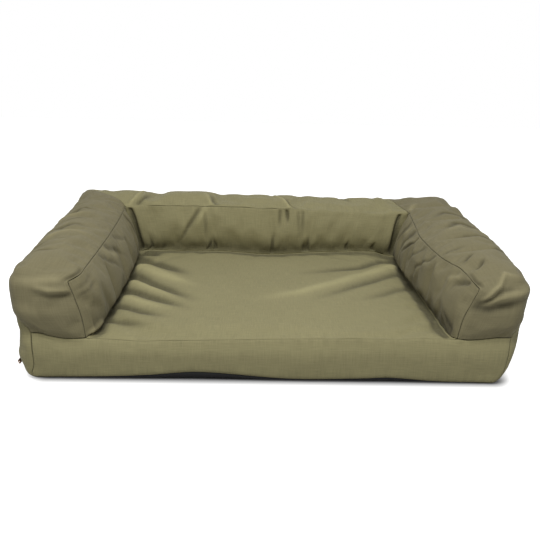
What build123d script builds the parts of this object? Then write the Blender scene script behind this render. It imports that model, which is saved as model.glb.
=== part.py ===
# A pet lounger bed: a boxed mattress with a bolster round three sides, in one sewn canvas cover that zips up.
# Millimetres. +X runs across the bed, +Y to its back and +Z up. The origin is on the floor, under its middle.

from build123d import *
import os
from math import atan2, degrees, hypot, sqrt

os.makedirs("parts", exist_ok=True)

# The whole bed
bed_width = 900.0
bed_depth = 700.0
bed_height = 196.0
seat_height = 74.0

# Cloth of the cover, and how closely the fillings fit in it
cloth = 1.2
filling_gap = 0.3

# Arms and back of the bolster, measured between their seams
arm_width = 121.0
back_thickness = 149.0
arm_foot_spread = 16.0
back_foot_spread = 5.0
front_fold_radius = 34.0
fold_rise = 2.0

# How far each face of the bolster swells past its seams
top_crown = 16.0
side_crown = 15.0
rear_crown = 8.0
front_crown = 8.0
inner_crown = 10.0

# The mattress draws in towards the floor, and its top swells between the arms
side_tuck = 26.0
front_tuck = 10.0
base_side_crown = 9.0
base_front_crown = 9.0
seat_crown = 10.0
seat_peak_to_back = 76.0
seat_to_back_gap = 7.0
underside_turn_up = 8.0

# The top seam of the right arm runs this far inwards on its way over the back
right_seam_lean = 29.0

# Zip low on the left side, from near the bed's front to near its back
zip_height = 24.0
zip_front_margin = 28.0
zip_rear_margin = 50.0
zip_slot_half_width = 5.0
tape_half_width = 13.0
tape_end_margin = 8.0
tape_thickness = 0.5
tape_gap = 0.2
tape_relief = 4.5
relief_margin = 2.0
bead_width = 2.1
bead_height = 1.9
bead_gap = 1.0
bead_round = 0.7
stop_length = 3.0
stop_wall = 0.6

# Slider and its pull
slider_length = 11.0
slider_half_width = 4.2
slider_plate = 1.0
slider_flange = 0.8
slider_clearance = 0.3
slider_corner = 1.4
wedge_width = 0.5
wedge_length = 4.0
lug_width = 1.6
lug_wall = 0.7
pin_radius = 0.6
pin_clearance = 0.08
pull_length = 22.0
pull_width = 7.0
pull_thickness = 1.2
pull_corner = 2.4
pull_hole_radius = 1.8
pull_root_wall = 0.5
pull_cheek_gap = 0.25
pull_window_length = 3.0

# Longer than any part of the bed, for cutting, and how far an arc runs on past its corners
reach = 2 * (bed_width + bed_depth)
arc_overlap = 1.0

# Seam lines, worked out from the sizes above
seam_height = bed_height - top_crown
side_seam_x = bed_width / 2 - side_crown
inner_seam_x = bed_width / 2 - arm_width
inner_foot_x = inner_seam_x - arm_foot_spread
front_seam_y = front_crown - bed_depth / 2
rear_seam_y = bed_depth / 2 - rear_crown
facing_seam_y = bed_depth / 2 - back_thickness
facing_foot_y = facing_seam_y - back_foot_spread
floor_edge_x = side_seam_x - side_tuck
floor_front_y = front_seam_y + front_tuck
floor_rear_y = rear_seam_y - front_tuck
seat_peak_y = facing_foot_y - seat_peak_to_back
outline_top = bed_height + fold_rise
zip_front_y = zip_front_margin - bed_depth / 2
zip_rear_y = bed_depth / 2 - zip_rear_margin


def side_circle(start, end, crown):
    """Centre and radius of the arc that swells by crown outside a side that runs with its inside on its left."""
    run = end - start
    inward = Vector(-run.Y, run.X).normalized()
    radius = run.length**2 / (8 * crown) + crown / 2
    middle = start + run * (1 / 2)
    return middle + inward * (radius - crown), radius


def half_plane(start, end, inset):
    """All that lies on the left of a straight side, drawn in by its inset."""
    run = end - start
    inward = Vector(-run.Y, run.X).normalized()
    centre = start + run * (1 / 2) + inward * (reach / 2 + inset)
    return Pos(centre.X, centre.Y) * Rot(0, 0, degrees(atan2(run.Y, run.X))) * Rectangle(reach, reach)


def side_region(start, end, crown, inset):
    """All that lies inside one side, which swells out in an arc by its crown."""
    if crown > 0:
        centre, radius = side_circle(start, end, crown)
        swell = Pos(centre.X, centre.Y) * Circle(radius - inset)
        return swell + half_plane(start, end, inset + arc_overlap)
    return half_plane(start, end, inset)


def crowned_section(corners, crowns, insets):
    """A closed section from its corners, each side swelling by its crown and drawn in by its inset."""
    region = Rectangle(reach, reach)
    for place, start in enumerate(corners):
        end = corners[(place + 1) % len(corners)]
        region = region & side_region(start, end, crowns[place], insets[place])
    return region


def along_y(section):
    return extrude(Plane.XZ * section, amount=bed_depth, both=True)


def along_x(section):
    return extrude(Plane.YZ * section, amount=bed_width, both=True)


def block(low, high):
    """A box from its lowest to its highest corner."""
    size = high - low
    return Pos(*(low + size * (1 / 2))) * Box(size.X, size.Y, size.Z)


def behind(plane, offset=0.0):
    """All that lies on the side of a plane to which it faces, from offset on."""
    return plane.offset(offset) * Pos(0, 0, reach / 2) * Box(reach, reach, reach)


def mirrored(shape):
    return mirror(shape, about=Plane.YZ)


def mitre_plane():
    """Plane of the right-hand corner between an arm and the back, facing the back."""
    inner_top = Vector(inner_seam_x, facing_seam_y, seam_height)
    inner_foot = Vector(inner_foot_x, facing_foot_y, seat_height)
    outer_top = Vector(side_seam_x, rear_seam_y, seam_height)
    down = inner_foot - inner_top
    return Plane(origin=inner_top, x_dir=down, z_dir=(outer_top - inner_top).cross(down))


def rear_region(inset):
    """All that lies in front of the bolster's swelling rear face, seen from the side."""
    return side_region(Vector(rear_seam_y, seat_height), Vector(rear_seam_y, seam_height), rear_crown, inset)


def arm_form(inner, top, outer, front, rear, foot):
    """The right arm as far as the rear face, each face drawn in by its own amount."""
    across = crowned_section(
        [
            Vector(inner_foot_x, seat_height),
            Vector(side_seam_x, seat_height),
            Vector(side_seam_x, seam_height),
            Vector(inner_seam_x, seam_height),
        ],
        [0, side_crown, top_crown, inner_crown],
        [foot, outer, top, inner],
    )
    lengthwise = crowned_section(
        [
            Vector(front_seam_y, seat_height),
            Vector(bed_depth, seat_height),
            Vector(bed_depth, outline_top),
            Vector(front_seam_y, outline_top),
        ],
        [0, 0, 0, front_crown],
        [foot, 0, top, front],
    )
    fold = lengthwise.vertices().filter_by(lambda v: v.Y > seam_height).sort_by(Axis.X)[0]
    lengthwise = fillet(fold, front_fold_radius - top) & rear_region(rear)
    return along_y(across) & along_x(lengthwise)


def back_form(inner, top, outer, rear, foot):
    """The back from side to side, each face drawn in by its own amount."""
    section = crowned_section(
        [
            Vector(facing_foot_y, seat_height),
            Vector(rear_seam_y, seat_height),
            Vector(rear_seam_y, seam_height),
            Vector(facing_seam_y, seam_height),
        ],
        [0, rear_crown, top_crown, inner_crown],
        [foot, rear, top, inner],
    )
    right_side = side_region(Vector(side_seam_x, seat_height), Vector(side_seam_x, seam_height), side_crown, outer)
    return along_x(section) & along_y(right_side & mirror(right_side, about=Plane.YZ))


def bolster_parts(inner=0.0, top=0.0, outer=0.0, front=0.0, rear=0.0, foot=0.0, corner=0.0):
    """Right arm, left arm and back of the bolster, mitred where they meet."""
    mitre = mitre_plane()
    right_arm = arm_form(inner, top, outer, front, rear, foot) - behind(mitre, -corner)
    back = back_form(inner, top, outer, rear, foot) & behind(mitre, corner)
    back = back & mirrored(behind(mitre, corner))
    return right_arm, mirrored(right_arm), back


def bolster(**insets):
    right_arm, left_arm, back = bolster_parts(**insets)
    return right_arm + left_arm + back


def seat_swell(inset):
    """The swelling of the mattress between the arms, above the level of its seams."""
    centre, radius = side_circle(Vector(inner_foot_x, seat_height), Vector(-inner_foot_x, seat_height), seat_crown)
    across = Pos(centre.X, centre.Y) * Circle(radius - inset)
    front_run = seat_peak_y - front_seam_y
    long_radius = front_run**2 / (2 * seat_crown) + seat_crown / 2
    lengthwise = Pos(seat_peak_y, seat_height + seat_crown - long_radius) * Circle(long_radius - inset)
    well = block(
        Vector(-inner_foot_x, front_seam_y, seat_height / 2),
        Vector(inner_foot_x, facing_foot_y - seat_to_back_gap - inset, bed_height),
    )
    return along_y(across) & along_x(lengthwise) & well


def mattress(side=0.0, front=0.0, bottom=0.0, top=0.0):
    """The mattress, each face drawn in by its own amount."""
    across = crowned_section(
        [
            Vector(-floor_edge_x, 0),
            Vector(floor_edge_x, 0),
            Vector(side_seam_x, seat_height),
            Vector(-side_seam_x, seat_height),
        ],
        [0, base_side_crown, 0, base_side_crown],
        [bottom, side, top, side],
    )
    lengthwise = crowned_section(
        [
            Vector(floor_front_y, 0),
            Vector(floor_rear_y, 0),
            Vector(rear_seam_y, seat_height),
            Vector(front_seam_y, seat_height),
        ],
        [0, base_front_crown, 0, base_front_crown],
        [bottom, front, top, front],
    )
    return (along_y(across) & along_x(lengthwise)) + seat_swell(top)


def zip_plane():
    """Plane that lies on the left side at the zip: X runs back along it, and Z points out of the bed."""
    centre, radius = side_circle(Vector(floor_edge_x, 0), Vector(side_seam_x, seat_height), base_side_crown)
    drop = zip_height - centre.Y
    out = sqrt(radius**2 - drop**2)
    return Plane(origin=(-centre.X - out, 0, zip_height), x_dir=(0, 1, 0), z_dir=(-out, 0, drop))


# Working sizes of the zip, from the cloth inwards
side_plane = zip_plane()
bead_outer = bead_gap / 2 + bead_width
bead_low = -cloth - tape_gap - tape_thickness
bead_top = bead_low + bead_height
plate_low = bead_top + slider_clearance
plate_high = plate_low + slider_plate
under_plate_high = bead_low - slider_clearance
lug_radius = pin_radius + pin_clearance + lug_wall
pull_root = pin_radius + pull_root_wall
pin_height = plate_high + hypot(pull_root, pull_thickness / 2) + slider_clearance
slider_y = zip_front_y + stop_length + slider_length / 2 + slider_clearance


def on_side(shape):
    return side_plane * shape


def zip_strip(half_width, low, high, front=zip_front_y, rear=zip_rear_y):
    """A straight strip along the zip, in its plane."""
    return on_side(block(Vector(front, -half_width, low), Vector(rear, half_width, high)))


def make_cover_panels():
    """The cloth panels, cut at the seams out of the skin of the bolster and of the mattress."""
    whole = bolster()
    no_sides = bolster(outer=cloth)
    no_rear = bolster(outer=cloth, rear=cloth)
    no_inner = bolster(outer=cloth, rear=cloth, inner=cloth)
    core = bolster(outer=cloth, rear=cloth, inner=cloth, top=cloth, front=cloth)

    base = mattress()
    base_no_sides = mattress(side=cloth)
    base_no_front = mattress(side=cloth, front=cloth)
    base_core = mattress(side=cloth, front=cloth, top=cloth)
    base_inside = mattress(side=cloth, front=cloth, bottom=cloth)

    left = block(Vector(-reach, -reach, -reach), Vector(0, reach, reach))
    front = block(Vector(-reach, -reach, -reach), Vector(reach, 0, reach))
    turn_up = block(Vector(-reach, -reach, -reach), Vector(reach, reach, underside_turn_up))
    mitre = mitre_plane()
    back_corner = behind(mitre) & mirrored(behind(mitre))

    sides = (whole - no_sides) + (base - base_no_sides - turn_up)
    base_bands = base_no_sides - base_no_front - turn_up
    inner_walls = no_rear - no_inner
    tops = no_inner - core
    slot = zip_strip(zip_slot_half_width, -tape_relief, tape_relief)

    lean = Vector(-right_seam_lean, back_thickness, 0)
    right_seam = Plane(origin=(inner_seam_x, facing_seam_y, 0), x_dir=lean, z_dir=lean.cross(Vector(0, 0, 1)))
    arm_side = block(Vector(0, -reach, -reach), Vector(reach, facing_seam_y, reach))
    right_top = tops & (behind(right_seam) + arm_side)
    left_top = tops & left - mirrored(behind(mitre))
    return {
        "left_side_panel": (sides & left) - slot,
        "right_side_panel": sides - left,
        "rear_panel": (no_sides - no_rear) + (base_bands - front),
        "front_band": base_bands & front,
        "seat_panel": base_no_front - base_core,
        "underside_panel": (base - base_inside) & turn_up,
        "left_arm_inner_panel": (inner_walls & left) - back_corner,
        "right_arm_inner_panel": inner_walls - left - back_corner,
        "back_facing_panel": inner_walls & back_corner,
        "left_arm_top_panel": left_top,
        "right_arm_top_panel": right_top,
        "back_top_panel": tops - left_top - right_top,
    }


def make_fillings():
    """Foam of the mattress and the three stuffed fillings of the bolster."""
    inset = cloth + filling_gap
    right_arm, left_arm, back = bolster_parts(
        inner=inset, top=inset, outer=inset, front=inset, rear=inset, foot=filling_gap, corner=filling_gap
    )
    foam = mattress(side=inset, front=inset, bottom=inset, top=inset)
    relief = zip_strip(
        tape_half_width + relief_margin,
        -tape_relief,
        tape_relief,
        zip_front_y - tape_end_margin - relief_margin,
        zip_rear_y + tape_end_margin + relief_margin,
    )
    return {
        "mattress_foam": foam - relief,
        "left_arm_filling": left_arm,
        "right_arm_filling": right_arm,
        "back_filling": back,
    }


def make_zip_tapes():
    """Two tapes sewn behind the slot, bent with the cloth, each with its bead along its inner edge."""
    band = mattress(side=cloth + tape_gap) - mattress(side=cloth + tape_gap + tape_thickness)
    length = (zip_front_y - tape_end_margin, zip_rear_y + tape_end_margin)
    return (band & zip_strip(tape_half_width, -tape_relief, tape_relief, *length)) - zip_strip(
        bead_outer, -tape_relief, tape_relief, *length
    )


def make_zip_beads():
    """The two closed rows of the zip as plain rounded beads."""
    section = Pos(bead_gap / 2 + bead_width / 2, bead_low + bead_height / 2) * Rectangle(bead_width, bead_height)
    section = fillet(section.vertices().sort_by(Axis.Y)[-2:], bead_round)
    upper = Pos(zip_front_y, 0, 0) * extrude(Plane.YZ * section, amount=zip_rear_y - zip_front_y)
    return on_side(upper + mirror(upper, about=Plane.XZ))


def make_zip_stops():
    """A clamp on each bead in front of the slider, and one across both at the far end."""
    wall_low = bead_top
    outer = Vector(zip_front_y + stop_length, bead_outer, bead_top + stop_wall)
    upper = block(Vector(zip_front_y, bead_gap / 2, wall_low), outer)
    rear = block(
        Vector(zip_rear_y - stop_length, -bead_outer, wall_low),
        Vector(zip_rear_y, bead_outer, bead_top + stop_wall),
    )
    return on_side(upper + mirror(upper, about=Plane.XZ) + rear)


def make_slider():
    """Two plates joined by the wedge that parts the beads, with flanges and a lug for the pull."""
    outline = RectangleRounded(slider_length, 2 * slider_half_width, slider_corner)
    upper = Pos(0, 0, plate_low) * extrude(outline, amount=slider_plate)
    lower = Pos(0, 0, under_plate_high - slider_plate) * extrude(outline, amount=slider_plate)
    flange_low = slider_clearance - cloth
    flange_end = slider_length / 2 - slider_corner
    flange = block(
        Vector(-flange_end, slider_half_width - slider_flange, flange_low),
        Vector(flange_end, slider_half_width, plate_low),
    )
    flanges = flange + mirror(flange, about=Plane.XZ)
    span = plate_low - under_plate_high
    wedge = Pos(0, 0, under_plate_high + span / 2) * Box(wedge_length, wedge_width, span)
    web = Pos(0, (plate_high + pin_height) / 2) * Rectangle(2 * lug_radius, pin_height - plate_high)
    ear = web + Pos(0, pin_height) * Circle(lug_radius)
    eye = Pos(0, pin_height) * Circle(pin_radius + pin_clearance)
    lug = extrude(Plane.XZ * (ear - eye), amount=lug_width / 2, both=True)
    return on_side(Pos(slider_y, 0, 0) * (upper + lower + flanges + wedge + lug))


def make_pull():
    """Flat pull with a window at its root, whose end bar is the pin in the slider's lug."""
    plate = Pos(pull_root - pull_length / 2, 0) * RectangleRounded(pull_length, pull_width, pull_corner)
    hole = Pos(pull_root - pull_length + pull_width / 2, 0) * Circle(pull_hole_radius)
    window_half_width = lug_width / 2 + pull_cheek_gap
    window_reach = lug_radius + pull_window_length
    window = Pos(-window_reach / 2 + pull_root / 2, 0) * Rectangle(window_reach + pull_root, 2 * window_half_width)
    body = extrude(plate - hole - window, amount=pull_thickness / 2, both=True)
    pin = extrude(Plane.XZ * Circle(pin_radius), amount=window_half_width, both=True)
    return on_side(Pos(slider_y, 0, pin_height) * (body + pin))


parts = make_cover_panels()
parts.update(make_fillings())
parts["zip_tapes"] = make_zip_tapes()
parts["zip_beads"] = make_zip_beads()
parts["zip_stops"] = make_zip_stops()
parts["zip_slider"] = make_slider()
parts["zip_pull"] = make_pull()

for name, shape in parts.items():
    export_step(shape, f"parts/{name}.step")
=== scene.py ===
import math

import bmesh
import bpy
from mathutils import Matrix, Vector, bvhtree, kdtree, noise


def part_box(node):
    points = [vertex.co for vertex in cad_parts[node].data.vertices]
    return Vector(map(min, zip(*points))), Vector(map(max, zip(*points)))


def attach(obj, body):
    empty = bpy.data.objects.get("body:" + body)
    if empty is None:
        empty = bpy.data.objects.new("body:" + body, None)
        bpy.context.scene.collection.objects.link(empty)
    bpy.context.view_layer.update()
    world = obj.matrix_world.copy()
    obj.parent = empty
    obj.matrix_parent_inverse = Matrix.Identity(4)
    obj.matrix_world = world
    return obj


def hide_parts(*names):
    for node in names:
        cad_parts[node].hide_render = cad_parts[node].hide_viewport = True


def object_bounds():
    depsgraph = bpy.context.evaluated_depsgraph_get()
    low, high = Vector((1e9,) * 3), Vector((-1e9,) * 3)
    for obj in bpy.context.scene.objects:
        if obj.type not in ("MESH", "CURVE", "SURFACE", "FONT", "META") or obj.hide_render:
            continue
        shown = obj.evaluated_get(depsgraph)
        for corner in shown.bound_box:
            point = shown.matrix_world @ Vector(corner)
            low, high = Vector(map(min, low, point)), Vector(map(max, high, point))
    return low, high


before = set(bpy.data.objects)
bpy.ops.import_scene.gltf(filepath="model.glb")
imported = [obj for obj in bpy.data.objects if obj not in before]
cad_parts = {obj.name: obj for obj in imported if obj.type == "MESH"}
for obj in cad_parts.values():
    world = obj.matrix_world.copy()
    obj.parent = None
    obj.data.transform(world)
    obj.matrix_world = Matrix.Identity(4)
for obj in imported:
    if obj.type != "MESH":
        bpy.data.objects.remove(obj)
cad_low, cad_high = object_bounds()

mm = 0.001

# Smaller than any real distance or share
tiny = 1e-6


def in_mm(*stops):
    """Stops along a line, whose values are given in millimetres."""
    return [(place, value * mm) for place, value in stops]


def wall_in_mm(*stops):
    """Stops up a wall, whose heights and distances are given in millimetres."""
    return [(place * mm, value) for place, value in in_mm(*stops)]


# The bed's box and the height of its mattress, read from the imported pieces
half_width = cad_high.x
half_depth = cad_high.y
bed_top = cad_high.z
seat_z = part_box("front_band")[1].z
turn_up_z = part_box("front_band")[0].z

# Seam to seam sizes of the bolster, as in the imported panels
arm_width = 121 * mm
back_thickness = 149 * mm
arm_foot_spread = 16 * mm
back_foot_spread = 5 * mm
side_tuck = 26 * mm
front_tuck = 10 * mm

# How far each face swells past its seams
top_crown = 16 * mm
side_crown = 15 * mm
rear_crown = 8 * mm
front_crown = 8 * mm
inner_crown = 10 * mm
base_side_crown = 9 * mm
base_front_crown = 9 * mm
seat_crown = 10 * mm

# Seam lines
seam_z = bed_top - top_crown
side_x = half_width - side_crown
front_y = front_crown - half_depth
rear_y = half_depth - rear_crown
inner_x = half_width - arm_width
inner_foot_x = inner_x - arm_foot_spread
facing_y = half_depth - back_thickness
facing_foot_y = facing_y - back_foot_spread
floor_x = side_x - side_tuck
floor_y = front_y + front_tuck
bolster_height = seam_z - seat_z

# Shape of the corners and edges between the panels
front_fold_radius = 18 * mm
front_fall = 5 * mm
front_fall_run = 70 * mm
corner_round = 28 * mm
corner_round_low = 5 * mm
left_corner_round_z = 25 * mm
right_corner_round_z = 80 * mm
corner_reach = 120 * mm
corner_seam_low_z = 74 * mm
corner_seam_high_z = 125 * mm
left_seam_turn_share = 0.0
right_seam_turn_share = 0.25
rear_round = 8 * mm
taper_run = 260 * mm
zip_taper_run = 20 * mm
rear_edge_move = 3 * mm
bottom_tuck = 7 * mm
front_set_back = 10 * mm
front_drop = 30 * mm
right_seam_lean = 29 * mm
corner_pit_depth = 20 * mm
corner_pit_reach = 6 * mm
corner_pit_root = 0.5

# How the stuffing rounds out the faces between their seams
blunt_power = 2.4
blunt_root = 0.6
front_swell_run = 45 * mm
top_swell_run = 90 * mm
front_fall_power = 3
edge_rise_share = 0.6
edge_blend_share = 0.4
seat_side_power = 3
seat_front_power = 2.2
seat_front_share = 0.5
seat_back_share = 0.8
seat_swell_fade = 2 * mm
back_lift_root = 0.7
corner_lean_share = 0.5
back_lean_share = 2

# How far the outer faces stand from the middle at the front end of the bed, as places by their height
left_front_wall = wall_in_mm(
    (0, 403), (8, 416), (16, 423), (30, 426), (60, 429), (89, 432), (115, 437), (140, 439),
    (160, 440), (172, 439), (180, 436),
)
right_front_wall = wall_in_mm(
    (0, 383), (7, 390), (16, 398), (30, 405), (58, 417), (87, 425), (116, 429), (145, 431),
    (164, 434), (174, 433), (180, 430),
)

# How far the outer top seams stand out and up from their plain lines, as places from front to back
left_edge_moves = in_mm((0, 0), (0.13, 2), (0.32, 5), (0.8, 10), (0.93, 17), (1, 15))
right_edge_moves = in_mm((0, 1), (0.13, 6), (0.32, 9), (0.5, 10), (0.8, 13), (1, 14))

# How far the arms belly in over the seat, as places from the front to the back's face
left_belly = in_mm((0, 1), (0.05, 12), (0.12, 20), (0.3, 23), (0.7, 23), (0.9, 18), (1, 12))
right_belly = in_mm((0, 1), (0.05, 6), (0.12, 10), (0.3, 16), (0.65, 25), (0.88, 18), (1, 12))
belly_low_share = 0.5
foot_slip = 8 * mm
foot_slip_run = 60 * mm

# How far the inner top seams of the arms have slipped inwards, as places from the front to the back
left_seam_slips = in_mm((0, -9), (0.03, 5), (0.08, 8), (0.4, 8), (0.66, 4), (0.78, 0))
right_seam_slips = in_mm(
    (0, -12), (0.04, -7), (0.12, -2), (0.24, 12), (0.48, 17), (0.62, 9), (0.78, 0),
)
slip_drop_share = 0.3
slip_low_share = 0.3
slip_reach_share = 0.6

# How far the top seam of the back's face stands over its plain line, as places from left to right
facing_seam_lifts = in_mm((-1, 0), (-0.85, 5), (-0.4, 7), (0.05, 5), (0.4, 2), (0.85, -3), (1, 0))

# How far the mattress's front seam stands over its plain line, as places across the front from the left
front_seam_lifts = in_mm(
    (-0.96, 6), (-0.91, 1), (-0.84, -3), (-0.7, -2), (-0.55, -5), (-0.29, -2), (0.1, 3), (0.5, 6),
    (0.72, 7), (0.81, 4), (0.93, 9),
)
front_seam_reach = 28 * mm
front_seam_run = 90 * mm

# How far the seat stands over its plain line along the back's foot, as places from left to right
seat_back_lifts = in_mm(
    (-1, 0), (-0.92, 7), (-0.7, 6), (-0.38, 7), (0.03, 1), (0.32, 7), (0.6, 11), (0.82, 12),
    (0.9, 6), (1, 0),
)
seat_back_reach = 130 * mm

# Uneven stuffing of the back, as places along it and how much higher it stands there
back_lifts = in_mm(
    (-0.92, -1), (-0.68, 3), (-0.61, -2), (-0.53, 3), (-0.35, 3), (-0.24, -5), (0.05, -4),
    (0.2, -10), (0.66, -10), (0.74, -12), (0.84, -8), (0.93, -4),
)

# Lower edge of the canvas along the front, as places from left to right and its height over the floor
hem_heights = in_mm(
    (-0.95, 2), (-0.67, 4.5), (-0.5, 9), (-0.3, 17), (0.08, 4), (0.39, 7), (0.48, 9.5), (0.68, 2.5),
    (0.95, 1),
)
hem_reach = 40 * mm
hem_corner_run = 70 * mm

# Below this height the left side lies exactly over the zip
zip_clear_z = 38 * mm
above_zip_z = 52 * mm

# Cloth and its seams
cloth = 1.2 * mm
seam_depth = 1.7 * mm

# Squares of the cover before it is stuffed, and rows of them in each corner block
coarse_step = 8.5 * mm
corner_rows = 15
diagonal_share = 0.4
length_digits = 5

# A face looks one way where more than this of its normal points there
mostly = 0.5

PANELS = [
    "underside_panel",
    "front_band",
    "left_side_panel",
    "right_side_panel",
    "rear_panel",
    "seat_panel",
    "left_arm_inner_panel",
    "right_arm_inner_panel",
    "back_facing_panel",
    "left_arm_top_panel",
    "right_arm_top_panel",
    "back_top_panel",
]
NUMBER = {name: place for place, name in enumerate(PANELS)}
FINE_PANELS = PANELS[6:]


def sort_of(name):
    """The sort of a panel, without its side."""
    return name.removeprefix("left_").removeprefix("right_")


def laid_flat(name, point):
    """Where a point of the flat-sided cover lies on its panel when that is laid flat."""
    from_front = point.y - front_y
    return {
        "arm_top_panel": (abs(point.x) - inner_x, from_front - (seam_z - point.z)),
        "arm_inner_panel": (from_front, point.z - seat_z),
        "side_panel": (from_front, point.z),
        "back_facing_panel": (point.x, point.z - seat_z),
        "back_top_panel": (point.x, point.y - facing_y),
        "seat_panel": (point.x, from_front),
        "underside_panel": (point.x, from_front),
        "front_band": (point.x, point.z),
        "rear_panel": (point.x, point.z),
    }[sort_of(name)]


def lerp(a, b, share):
    return a + (b - a) * share


def clamp(value, low=0.0, high=1.0):
    return max(low, min(high, value))


def smooth_step(low, high, value):
    share = clamp((value - low) / (high - low))
    return share * share * (3 - 2 * share)


def unique(items):
    """The items without repeats, in their order."""
    return list(dict.fromkeys(items))


def link(name, mesh):
    """A new piece from a mesh."""
    piece = bpy.data.objects.new(name, mesh)
    bpy.context.scene.collection.objects.link(piece)
    return piece


def bed_piece(name, mesh, node):
    """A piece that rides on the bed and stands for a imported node."""
    piece = link(name, mesh)
    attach(piece, "bed")
    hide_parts(node)
    return piece


def finished_mesh(name, bm):
    """The mesh of a bmesh that is done with."""
    mesh = bpy.data.meshes.new(name)
    bm.to_mesh(mesh)
    bm.free()
    return mesh


def with_modifier(mesh, kind, **settings):
    """What a modifier makes of a mesh."""
    helper = link("helper", mesh)
    modifier = helper.modifiers.new("modifier", kind)
    for key, value in settings.items():
        setattr(modifier, key, value)
    made = bpy.data.meshes.new_from_object(helper.evaluated_get(bpy.context.evaluated_depsgraph_get()))
    bpy.data.objects.remove(helper)
    return made


def add_box(bm, size, middle):
    """The points of a new box of a size round its middle."""
    box = bmesh.ops.create_cube(bm, size=1)["verts"]
    bmesh.ops.scale(bm, vec=size, verts=box)
    bmesh.ops.translate(bm, vec=middle, verts=box)
    return box


# Cover: the closed shell of cloth, first as flat-sided boxes, then stuffed


def cut_at(bm, place, normal, faces=None):
    """Cut the faces of a mesh along one plane."""
    faces = bm.faces[:] if faces is None else faces
    edges = unique(edge for face in faces for edge in face.edges)
    verts = unique(vert for face in faces for vert in face.verts)
    bmesh.ops.bisect_plane(bm, geom=verts + edges + faces, plane_co=place, plane_no=normal, dist=tiny)


def rows_between(axis, low, length):
    """How many squares an edge of the flat-sided cover is cut into."""
    in_corner_x = axis == 0 and abs(low) > inner_x - mm and length < arm_width
    in_corner_y = axis == 1 and abs(low - facing_y) < mm
    if in_corner_x or in_corner_y:
        return corner_rows
    return max(round(length / coarse_step), 1)


def cut_into_squares(bm):
    """Cut all edges that run the same way over the same stretch into the same number of parts."""
    for axis in range(3):
        stretches = {}
        for edge in bm.edges:
            ends = sorted(vert.co[axis] for vert in edge.verts)
            length = ends[1] - ends[0]
            if length > mm:
                key = (round(ends[0], length_digits), round(length, length_digits))
                stretches.setdefault(key, []).append(edge)
        for (low, length), edges in sorted(stretches.items(), key=lambda item: item[0]):
            cuts = rows_between(axis, low, length) - 1
            if cuts:
                bmesh.ops.subdivide_edges(bm, edges=edges, cuts=cuts, use_grid_fill=True)


def flat_cover():
    """The cover as a box with a U-shaped box standing on it."""
    bm = bmesh.new()
    add_box(bm, (2 * side_x, rear_y - front_y, seat_z), (0, (rear_y + front_y) / 2, seat_z / 2))
    for x in (-inner_x, inner_x):
        cut_at(bm, (x, 0, 0), (1, 0, 0))
    cut_at(bm, (0, facing_y, 0), (0, 1, 0))
    cut_at(bm, (0, 0, turn_up_z), (0, 0, 1))
    footprint = []
    for face in bm.faces:
        centre = face.calc_center_median()
        if face.normal.z > mostly and (abs(centre.x) > inner_x or centre.y > facing_y):
            footprint.append(face)
    grown = bmesh.ops.extrude_face_region(bm, geom=footprint)["geom"]
    raised = [item for item in grown if isinstance(item, bmesh.types.BMVert)]
    bmesh.ops.translate(bm, vec=(0, 0, bolster_height), verts=raised)
    hidden = [face for face in footprint if face.is_valid and face.calc_center_median().z < seam_z - mm]
    if hidden:
        bmesh.ops.delete(bm, geom=hidden, context="FACES")
    cut_into_squares(bm)
    bm.normal_update()
    return bm


def block_shares(point):
    """Shares of a point across an arm and along the back's depth, 0 at the inner corner and 1 outside."""
    across = (abs(point.x) - inner_x) / (side_x - inner_x)
    along = (point.y - facing_y) / (rear_y - facing_y)
    return across, along


def cut_left_mitre(bm):
    """Cut the squares on the diagonal of the left corner block in two, for the seam to follow."""
    pairs = []
    for face in bm.faces:
        centre = face.calc_center_median()
        across, along = block_shares(centre)
        on_diagonal = abs(across - along) < diagonal_share / corner_rows
        if face.normal.z > mostly and centre.x < -inner_x and along > 0 and on_diagonal:
            ends = sorted(face.verts, key=lambda vert: sum(block_shares(vert.co)))
            pairs.append((ends[0], ends[-1]))
    for ends in pairs:
        bmesh.ops.connect_verts(bm, verts=list(ends))


def panel_at(face):
    """The panel that a face of the flat-sided cover belongs to."""
    centre = face.calc_center_median()
    normal = face.normal
    side = "left" if centre.x < 0 else "right"
    across, along = block_shares(centre)
    if normal.z < -mostly or centre.z < turn_up_z:
        return "underside_panel"
    if normal.z > mostly and centre.z < seat_z + mm:
        return "seat_panel"
    if normal.z > mostly:
        if along < 0 or (across > 0 and (side == "right" or across > along)):
            return side + "_arm_top_panel"
        return "back_top_panel"
    if abs(normal.x) > mostly:
        return side + ("_side_panel" if abs(centre.x) > side_x - mm else "_arm_inner_panel")
    if centre.y > rear_y - mm:
        return "rear_panel"
    if centre.y > facing_y - mm:
        return "back_facing_panel"
    return "front_band" if centre.z < seat_z else side + "_arm_top_panel"


def bulge(share, chord, crown):
    """How far an arc stands out from its chord at a share of the chord's length."""
    radius = chord**2 / (8 * crown) + crown / 2
    off = (share - 0.5) * chord
    return math.sqrt(max(radius**2 - off**2, 0)) - (radius - crown)


def base_circle(foot, top, crown):
    """Centre and radius of the arc in which a face of the mattress runs from its foot up to its seam."""
    lean = top - foot
    radius = (lean**2 + seat_z**2) / (8 * crown) + crown / 2
    inward = Vector((-seat_z, lean)).normalized()
    return Vector((foot + lean / 2, seat_z / 2)) + inward * (radius - crown), radius


def base_arc(foot, top, crown, z):
    """Distance from the middle of a face of the mattress at a height on its arc."""
    centre, radius = base_circle(foot, top, crown)
    return centre.x + math.sqrt(max(radius**2 - (z - centre.y) ** 2, 0))


def blunt_bulge(share, crown):
    """How far a tight face stands out at a share of its width, fuller near its seams than an arc."""
    off = min(abs(2 * share - 1), 1)
    return crown * (1 - off**blunt_power) ** blunt_root


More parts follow.
